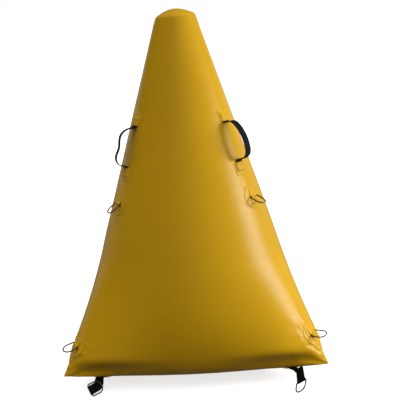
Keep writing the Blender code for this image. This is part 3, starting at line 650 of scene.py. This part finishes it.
def bag_columns(per_side=64):
    """Azimuths, closer together towards each ridge: 60 degrees times a power of an even share."""
    share = (np.arange(per_side) / per_side) ** 1.7 * math.radians(60)
    found = []
    for ridge in sorted(RIDGES.values()):
        found += [math.radians(ridge) + share, math.radians(ridge) - share[1:]]
    middles = [math.radians(ridge + 60) for ridge in RIDGES.values()]
    return np.unique(np.round(np.concatenate(found + [np.array(middles)]) % (2 * math.pi), 9))


def bag_skin():
    """The whole bag: a domed crown, the folded side and the base panel, as rows of one grid."""
    phi = bag_columns()
    ones = np.ones_like(phi)
    rows = []
    shoulder = skin(phi, 0.0 * ones)
    for share in np.concatenate((np.linspace(0.1, 0.7, 5), np.linspace(0.76, 0.99, 14))):
        weld = CROWN_RING * (smooth_step((share - 0.80) / 0.03) - smooth_step((share - 0.95) / 0.03))
        dome = CROWN_RISE * (1 - share ** 2) - shoulder_sag(phi, 0.0) * share ** 2
        height = SHOULDER_HEIGHT + dome + weld
        rows.append(np.stack((shoulder[:, 0] * share, shoulder[:, 1] * share, height), axis=-1))
    weld_rows = np.linspace(0.0, 0.024, 15)[:-1]
    middle_rows = np.linspace(0.024, 0.90, 112)[:-1]
    seam_rows = 1 - 0.10 * np.linspace(1, 0, 46) ** 1.6
    for s in np.concatenate((weld_rows, middle_rows, seam_rows)):
        rows.append(skin(phi, s * ones))
    seam = rows[-1]
    along = nearest_ridge(phi) * np.hypot(seam[:, 0], seam[:, 1])
    ripple = PANEL_PUCKER * np.sin(along / 0.016 + 1.5 * np.sin(along / 0.06))
    for share in np.concatenate((1 - 0.5 * np.linspace(0, 1, 26)[1:] ** 1.2, np.linspace(0.5, 0.05, 7)[1:])):
        x, y = seam[:, 0] * share, seam[:, 1] * share
        z = base_height(x, y) + ripple * bump((1 - share) / 0.10) * smooth_step((1 - share) / 0.02)
        rows.append(np.stack((x, y, np.maximum(z, 0.0)), axis=-1))
    points = np.stack(rows)
    steps = np.linalg.norm(np.diff(points, axis=0), axis=-1)
    drop = np.concatenate((np.zeros((1, len(phi))), steps), axis=0).cumsum(0)
    round_it = np.broadcast_to(phi, drop.shape) * 0.35
    bag = surface("bag_skin", points, ends="pole", uv=np.stack((round_it, drop), axis=-1))
    dress(bag, BAG_CLOTH, "bag", "envelope", slot="bag_yellow")


# Webbing, covers, patches and keepers


def band_section(width, thickness, points=20):
    """A flat band's section: a superellipse that starts at one edge, as (across, through) pairs."""
    angle = 2 * math.pi * (np.arange(points) + 0.5) / points
    across = np.sign(np.cos(angle)) * np.abs(np.cos(angle)) ** 0.30 * width / 2
    through = np.sign(np.sin(angle)) * np.abs(np.sin(angle)) ** 0.60 * thickness / 2
    return across, through


def band(name, path, wide, width, thickness, cup=0.0):
    """The band's section carried along a path, its width along the wide vectors. cup bows it across."""
    ahead = np.concatenate((path[1:], path[-1:]))
    behind = np.concatenate((path[:1], path[:-1]))
    along = unit(ahead - behind)
    wide = unit(wide - along * np.sum(wide * along, axis=-1, keepdims=True))
    thick = np.cross(along, wide)
    across, through = band_section(width, thickness)
    cup = np.broadcast_to(cup, (len(path),))
    bow = cup[:, None] * ((2 * across / width) ** 2 - 0.4)
    points = (path[:, None] + wide[:, None] * across[None, :, None]
              + thick[:, None] * (through[None, :] + bow)[..., None])
    length = np.concatenate(([0.0], np.linalg.norm(np.diff(path, axis=0), axis=-1).cumsum()))
    grid = points.shape[:2]
    uv = np.stack((np.broadcast_to(length[:, None], grid), np.broadcast_to(across, grid)), axis=-1)
    return surface(name, points, ends="strip", uv=uv)


def smooth_curve(points, steps):
    """A uniform cubic B-spline through its first and last points, at steps points for each of its spans."""
    knots = np.concatenate((points[:1], points[:1], points, points[-1:], points[-1:]))
    t = np.linspace(0, 1, steps, endpoint=False)[:, None]
    weights = ((1 - t) ** 3, 3 * t ** 3 - 6 * t ** 2 + 4, -3 * t ** 3 + 3 * t ** 2 + 3 * t + 1, t ** 3)
    spans = [sum(w * knots[i + k] for k, w in enumerate(weights)) / 6 for i in range(len(knots) - 3)]
    return np.concatenate(spans + [points[-1:]])


def handle_seat(name):
    """The place half way up a handle."""
    return Seat(RIDGES[name] + HANDLE_ASIDE[name], (HANDLE_TOP + HANDLE_BOTTOM) / 2)


def handle_half(seat):
    """Half the handle's height, along the cloth."""
    return (HANDLE_TOP - HANDLE_BOTTOM) / 2 / seat.slope


def handle(name):
    """The handle: a spline out of the ridge and back, turned sideways by a lean that grows on the way out."""
    seat = handle_seat(name)
    half = handle_half(seat)
    far = half + HANDLE_TAB
    low = SKIN_GAP + HANDLE_THICKNESS / 2
    loop = np.array(HANDLE_SHARES[name]) * (half, HANDLE_REACH[name]) + (0.0, low)
    start = np.array([(-far, low), (-far + HANDLE_TAB / 2, low), (-half - 0.004, low), (-half + 0.002, low)])
    end = np.array([(half + 0.004, low), (half + 0.010, low), (far - HANDLE_TAB / 2, low), (far, low)])
    line = smooth_curve(np.concatenate((start, loop, end)), 7)
    rise = line[:, 1:] - low
    lean = math.radians(HANDLE_LEAN[name]) * smooth_step((rise - HANDLE_LEAN_FROM) / HANDLE_LEAN_OVER)
    aside = np.cross(seat.down, seat.out)
    path = seat.point + line[:, :1] * seat.down + low * seat.out
    path = path + rise * (seat.out * np.cos(lean) + aside * np.sin(lean))
    wide = seat.across * np.cos(lean) + np.cross(seat.down, seat.across) * np.sin(lean)
    cup = HANDLE_CUP * smooth_step((line[:, 1] - low) / 0.03)
    webbing = band(name + "_handle_webbing", path, wide, WEBBING_WIDTH, HANDLE_THICKNESS, cup)
    dress(webbing, WEBBING, "bag", name + "_handle", slot="webbing_black")


def handle_cover(name, end):
    """A welded cover over a webbing end: flat on the cloth round three sides, raised over the webbing."""
    seat = handle_seat(name)
    sign = -1 if end == "top" else 1
    over_tab = SKIN_GAP + HANDLE_THICKNESS + FIT_GAP
    mouth = handle_half(seat) + 0.006
    half_web = WEBBING_WIDTH / 2
    half_cover = COVER_WIDTH / 2
    over_web = np.linspace(0, HANDLE_TAB - 0.004, 12)
    row = np.concatenate((over_web, np.linspace(HANDLE_TAB - 0.002, COVER_LENGTH, 12)))
    narrow = 1 - 0.20 * smooth_step((row - 0.036) / (COVER_LENGTH - 0.030)) ** 1.5
    column = np.linspace(-half_cover, half_cover, 45)
    x = column[None, :] * narrow[:, None]
    y = np.broadcast_to(sign * (mouth + row)[:, None], x.shape)
    tab_end = handle_half(seat) + HANDLE_TAB - mouth + 0.002
    over_x = 1 - smooth_step((np.abs(x) - half_web - 0.001) / 0.008)
    over_y = 1 - smooth_step((row - tab_end) / 0.008)[:, None]
    flat = seat.skin(x, y)
    clear = over_tab - (flat - seat.point) @ seat.out
    edge = np.minimum(half_cover * narrow[:, None] - np.abs(x), (COVER_LENGTH - row)[:, None])
    weld = PATCH_WELD * (bump((edge - 0.006) / 0.0012) + bump((edge - 0.0105) / 0.0012))
    weld = weld * (1 - over_x * over_y)
    base = SKIN_GAP + np.maximum(0.0, clear - SKIN_GAP) * over_x * over_y
    top = flat + seat.out * (base + PATCH_SKIN * smooth_step(edge / 0.0015 + 0.5) - weld)[..., None]
    under = flat + seat.out * base[..., None]
    points = np.concatenate((top, under[:, ::-1]), axis=1)
    uv = np.stack((np.concatenate((x, x[:, ::-1]), 1), np.concatenate((y, y[:, ::-1]), 1)), axis=-1)
    cover = surface(f"{name}_handle_{end}_cover_cloth", points, ends="strip", uv=uv)
    dress(cover, PATCH_CLOTH, "bag", f"{name}_handle_{end}_cover", slot="patch_yellow")


def round_patch(name, node, place, radius):
    """A welded disc: rows run out over its top and back under it, with two weld lines near its rim."""
    r = np.concatenate((np.linspace(0.03, 0.84, 22), np.linspace(0.85, 1.0, 16))) * radius
    angle = np.linspace(0, 2 * math.pi, 97)[:-1]
    edge = radius - r
    weld = PATCH_WELD * (bump((edge - 0.0050) / 0.0011) + bump((edge - 0.0090) / 0.0011))
    lift = SKIN_GAP + PATCH_SKIN * smooth_step(edge / 0.0012 + 0.5) - weld
    x, y = r[:, None] * np.cos(angle), r[:, None] * np.sin(angle)
    top = place(x, y, np.broadcast_to(lift[:, None], x.shape))
    under = place(x[::-4], y[::-4], np.full(x[::-4].shape, SKIN_GAP))
    points = np.concatenate((top, under))
    flat = np.stack((np.concatenate((x, x[::-4])), np.concatenate((y, y[::-4]))), axis=-1)
    patch = surface(name, points, ends="pole", uv=flat)
    dress(patch, PATCH_CLOTH, "bag", node, slot="patch_yellow")


def bar_height():
    """Height of a ring's bar over the cloth."""
    return SKIN_GAP + PATCH_SKIN + BAR_CLEARANCE + WIRE_RADIUS


def keeper(name, seat):
    """A strip over the ring's bar: flat on the patch at both ends, and half round over the bar."""
    low = SKIN_GAP + PATCH_SKIN + FIT_GAP + KEEPER_SKIN / 2
    centre = bar_height()
    arch = WIRE_RADIUS + BAR_CLEARANCE + KEEPER_SKIN / 2
    drop = centre - low
    quarter = np.linspace(0, math.pi / 2, 6)[1:]
    half_round = np.linspace(0, math.pi, 17)[1:-1]
    flat = np.linspace(-KEEPER_LENGTH / 2, -arch - drop, 12)
    foot_y = np.concatenate((flat, -arch - drop + drop * np.sin(quarter)))
    foot_h = np.concatenate((np.full(len(flat), low), centre - drop * np.cos(quarter)))
    y = np.concatenate((foot_y, -arch * np.cos(half_round), -foot_y[::-1]))
    h = np.concatenate((foot_h, centre + arch * np.sin(half_round), foot_h[::-1]))
    slope = unit(np.stack((np.gradient(y), np.gradient(h)), axis=-1))
    share = np.linspace(-1, 1, 19)
    x = np.broadcast_to(share * KEEPER_WIDTH / 2, (len(y), len(share)))
    bend = smooth_step((np.abs(y) - arch - drop) / 0.010)[:, None]
    layers = []
    for sign in (1, -1):
        thin = sign * KEEPER_SKIN / 2 * (0.55 + 0.45 * smooth_step((1 - np.abs(share)) / 0.06))
        y_side = y[:, None] - slope[:, 1:] * thin
        h_side = h[:, None] + slope[:, :1] * thin
        rise = seat.skin_rise(x, np.broadcast_to(y[:, None], x.shape))
        layers.append(seat.place(x, y_side, h_side + bend * rise))
    points = np.concatenate((layers[0], layers[1][:, ::-1]), axis=1)
    length = np.concatenate(([0.0], np.hypot(np.diff(y), np.diff(h)).cumsum()))
    length = np.broadcast_to(length[:, None], points.shape[:2])
    uv = np.stack((length, np.concatenate((x, x[:, ::-1]), axis=1)), axis=-1)
    strip = surface(name + "_strip", points, ends="strip", uv=uv)
    dress(strip, PATCH_CLOTH, "bag", name, slot="patch_yellow")


def d_ring(name, body, bar, bar_line, ring_line, sides=16):
    """A D of round wire: a round section carried round the bar, its corners, the legs and the bow."""
    half = RING_WIDTH / 2
    straight = RING_LENGTH - half
    turn_in = half - RING_CORNER
    turn = np.linspace(0, math.pi / 2, 7)
    corner_x = turn_in + RING_CORNER * np.sin(turn)
    corner = np.stack((corner_x, RING_CORNER - RING_CORNER * np.cos(turn)), axis=-1)
    bow = np.linspace(0, math.pi, 41)
    arc = np.stack((half * np.cos(bow), straight + half * np.sin(bow)), axis=-1)
    bar_run = np.stack((np.linspace(-turn_in, turn_in, 9)[1:-1], np.zeros(7)), axis=-1)
    line = np.concatenate((bar_run, corner, arc, corner[::-1] * (-1, 1)))
    across = unit(bar_line)
    along = unit(ring_line - across * (ring_line @ across))
    normal = np.cross(across, along)
    heading = unit(np.roll(line, -1, axis=0) - np.roll(line, 1, axis=0))
    outward = across * heading[:, 1:] - along * heading[:, :1]
    centre = bar + across * line[:, :1] + along * line[:, 1:]
    angle = 2 * math.pi * np.arange(sides) / sides
    section = outward[:, None] * np.cos(angle)[None, :, None] + normal * np.sin(angle)[None, :, None]
    points = centre[:, None] + WIRE_RADIUS * section
    ring = surface(name, points, round_trip=True)
    dress(ring, STEEL, body, body, slot="ring_steel")


def ridge_ring(name, level, seat, hang):
    """A ring on a ridge with its patch and keeper, hanging by an angle below straight out."""
    stem = f"{name}_{level}_ring"
    round_patch(stem + "_patch_disc", stem + "_patch", seat.skin, PATCH_RADIUS)
    keeper(stem + "_keeper", seat)
    angle = math.radians(hang)
    ring_line = seat.out * math.cos(angle) + seat.turned_down * math.sin(angle)
    d_ring(stem + "_wire", stem, seat.place(0.0, 0.0, bar_height()), seat.turned_across, ring_line)


# Base straps


def panel_point(spot, depth=0.0):
    """A point of the base panel, moved down off it by a depth along its own down direction."""
    spot = np.asarray(spot, dtype=float)
    x, y = spot[..., 0], spot[..., 1]
    step = 0.002
    slope_x = (base_height(x + step, y) - base_height(x - step, y)) / (2 * step)
    slope_y = (base_height(x, y + step) - base_height(x, y - step)) / (2 * step)
    down = unit(np.stack((slope_x, slope_y, -np.ones_like(x)), axis=-1))
    return np.stack((x, y, base_height(x, y)), axis=-1) + down * np.asarray(depth)[..., None]


def strap_heading(name):
    """The way a strap leaves its patch, in plan."""
    angle = math.radians(STRAP_HEADING[name])
    return np.array((math.cos(angle), math.sin(angle)))


def strap_path(name):
    """The strap's centre line and width vectors: tab, run to the bar, fold round it and the sewn return."""
    heading = strap_heading(name)
    aside = np.array((-heading[1], heading[0]))
    root = np.array(STRAP_ROOT[name])
    under = SKIN_GAP + PATCH_SKIN + STRAP_GAP + STRAP_THICKNESS / 2
    tab = panel_point(root - heading * (STRAP_TAB * np.linspace(1, 0, 9))[:, None], under)
    root_point = tab[-1]
    run = unit(np.array((heading[0], heading[1], -STRAP_DROP)))
    flat_width = unit(panel_point(root + aside * 0.01) - panel_point(root - aside * 0.01))
    bar = np.array(STRAP_BAR[name])
    bar_line = unit(np.array(STRAP_BAR_LINE[name]))
    arrival = bar - root_point
    arrival = unit(arrival - bar_line * (arrival @ bar_line))
    lift = unit(np.cross(arrival, bar_line))
    if lift @ np.array(STRAP_RETURN_SIDE[name]) < 0:
        lift = -lift
    eye = WIRE_RADIUS + BAR_CLEARANCE + STRAP_THICKNESS / 2
    start = bar - arrival * STRAP_END_STRAIGHT - lift * eye
    reach = np.linalg.norm(start - root_point) * 0.38
    t = np.linspace(0, 1, 25)[1:, None]
    curve = (root_point * (1 - t) ** 3 + (root_point + run * reach) * (3 * t * (1 - t) ** 2)
             + (start - arrival * reach) * (3 * t * t * (1 - t)) + start * t ** 3)
    if flat_width @ bar_line < 0:
        flat_width = -flat_width
    turn = smooth_step(t)
    widths = np.concatenate((np.repeat(flat_width[None], 9, 0), flat_width * (1 - turn) + bar_line * turn))
    straight = start + arrival * (STRAP_END_STRAIGHT * np.linspace(0, 1, 9)[1:-1])[:, None]
    bend = math.pi * (np.linspace(0, 1, 17) - 0.5)
    fold = bar + arrival * (eye * np.cos(bend))[:, None] + lift * (eye * np.sin(bend))[:, None]
    stack = -eye + STRAP_THICKNESS + FIT_GAP
    share = np.linspace(0.05, 1, 18)
    height = np.interp(share, (0.0, 0.18, 0.38, 0.58, 1.0), (1.0, 0.80, 0.30, 0.0, 0.0))
    back = bar - arrival * (STRAP_RETURN * share)[:, None] + lift * (stack + (eye - stack) * height)[:, None]
    path = np.concatenate((tab, curve, straight, fold, back))
    widths = np.concatenate((widths, np.repeat(bar_line[None], len(path) - len(widths), 0)))
    return path, widths, bar, bar_line, arrival, lift


def base_strap(name):
    """A strap under the base, with its patch and its ring."""
    centre = np.array(STRAP_ROOT[name]) - strap_heading(name) * (STRAP_TAB / 2)

    def under_panel(x, y, lift):
        return panel_point(np.stack((centre[0] + x, centre[1] + y), axis=-1), lift)

    round_patch(name + "_strap_patch_disc", name + "_strap_patch", under_panel, STRAP_PATCH_RADIUS)
    path, widths, bar, bar_line, arrival, lift = strap_path(name)
    webbing = band(name + "_strap_webbing", path, widths, WEBBING_WIDTH, STRAP_THICKNESS)
    dress(webbing, WEBBING, "bag", name + "_strap", slot="webbing_black")
    d_ring(name + "_strap_ring_wire", name + "_strap_ring", bar, bar_line, np.array(STRAP_RING_LINE[name]))


# Stage


def floor_and_backdrop():
    """One pale sheet: a floor that runs out of sight. The camera sees it white but for shadows."""
    bpy.ops.mesh.primitive_plane_add(size=60.0, location=(0, 0, -0.0005))
    floor = bpy.context.object
    floor.name = "studio_floor"
    f = Finish("studio_floor", Roughness=0.9, Specular_IOR_Level=0.1, Emission_Color=(1.0, 1.0, 1.0))
    path = f.node("LightPath")
    mirrored = path.outputs["Is Glossy Ray"]
    seen = f.maths("MAXIMUM", path.outputs["Is Camera Ray"], path.outputs["Is Transmission Ray"])
    f.use("Base Color", f.blend(mirrored, f.blend(seen, FLOOR_LIT, FLOOR_SEEN), FLOOR_MIRRORED))
    glow = f.span(seen, 0.0, 1.0, 0.0, FLOOR_GLOW)
    f.use("Emission Strength", f.span(mirrored, 0.0, 1.0, glow, FLOOR_MIRRORED_GLOW))
    floor.data.materials.append(f.material)


def world():
    """White as the camera sees it. On the bag it is softer, brighter overhead and warmer low down."""
    made = bpy.data.worlds.new("studio")
    bpy.context.scene.world = made
    made.use_nodes = True
    n = Nodes(made.node_tree)
    background = n.tree.nodes["Background"]
    direction = n.node("TexCoord").outputs["Generated"]
    height = n.node("SeparateXYZ", direction).outputs[2]
    lean = n.node("VectorMath", direction, operation="DOT_PRODUCT")
    lean.inputs[1].default_value = SKY_LEAN
    towards = lean.outputs["Value"]
    path = n.node("LightPath")
    soft = n.span(towards, -0.1, 1.0, SKY_LOW, SKY_HIGH)
    mirrored = n.span(height, 0.02, 0.16, HORIZON_MIRRORED, SKY_MIRRORED)
    light = n.span(path.outputs["Is Glossy Ray"], 0.0, 1.0, soft, mirrored)
    light = n.span(path.outputs["Is Transmission Ray"], 0.0, 1.0, light, 1.0)
    n.feed(background.inputs["Strength"], n.span(path.outputs["Is Camera Ray"], 0.0, 1.0, light, 1.0))
    tint = n.node("CombineColor")
    for socket, low in zip(tint.inputs, SKY_LOW_COLOUR):
        warm = n.span(towards, 0.0, 0.75, low, 1.0)
        n.feed(socket, n.span(path.outputs["Is Diffuse Ray"], 0.0, 1.0, 1.0, warm))
    n.feed(background.inputs["Color"], tint.outputs[0])


def key_lamp():
    """One rectangular soft lamp on the right, facing the bag."""
    data = bpy.data.lights.new("key_lamp", "AREA")
    data.shape = "RECTANGLE"
    data.size, data.size_y = LAMP_SIZE
    data.energy = LAMP_WATTS
    lamp = bpy.data.objects.new("key_lamp", data)
    bpy.context.scene.collection.objects.link(lamp)
    lamp.location = LAMP_PLACE
    lamp.rotation_euler = (Vector(LAMP_AIM) - Vector(LAMP_PLACE)).to_track_quat("-Z", "Y").to_euler()


def camera():
    """The photograph's view: a long lens a little right of the front, above the handles, leaning slightly."""
    data = bpy.data.cameras.new("view")
    data.sensor_width = SENSOR_WIDTH
    data.lens = CAMERA_FOCUS / PICTURE * SENSOR_WIDTH
    data.shift_x = 0.5 - CAMERA_CENTRE[0] / PICTURE
    data.shift_y = CAMERA_CENTRE[1] / PICTURE - 0.5
    eye = bpy.data.objects.new("view", data)
    bpy.context.scene.collection.objects.link(eye)
    turn = math.radians(CAMERA_TURN)
    eye.location = (math.sin(turn) * CAMERA_DISTANCE, -math.cos(turn) * CAMERA_DISTANCE, CAMERA_HEIGHT)
    level = Matrix.Rotation(turn, 4, "Z") @ Matrix.Rotation(math.radians(90.0 - CAMERA_PITCH), 4, "X")
    eye.rotation_euler = (level @ Matrix.Rotation(math.radians(-CAMERA_ROLL), 4, "Z")).to_euler()
    bpy.context.scene.camera = eye


def main():
    """Builds every visible piece, dresses the valve's own solids and sets the stage."""
    bag_skin()
    for name in RIDGES:
        handle(name)
        handle_cover(name, "top")
        handle_cover(name, "bottom")
        upper = Seat(RIDGES[name] + UPPER_RING_ASIDE[name], UPPER_RING_HEIGHT)
        ridge_ring(name, "upper", upper, UPPER_RING_HANG[name])
        lower = Seat(RIDGES[name], LOWER_RING_HEIGHT, LOWER_RING_TURN[name])
        ridge_ring(name, "lower", lower, LOWER_RING_HANG[name])
        base_strap(name)
    for node, finish in (
        ("valve_base", VALVE_PLASTIC), ("valve_body", VALVE_PLASTIC), ("valve_cap", VALVE_PLASTIC),
        ("valve_flap", RUBBER), ("valve_cap_gasket", RUBBER), ("valve_cap_tether", RUBBER),
    ):
        materials = frame["nodes"][node].data.materials
        materials.clear()
        materials.append(finish)
    floor_and_backdrop()
    world()
    key_lamp()
    camera()
    bpy.context.scene.view_settings.view_transform = "Standard"


main()
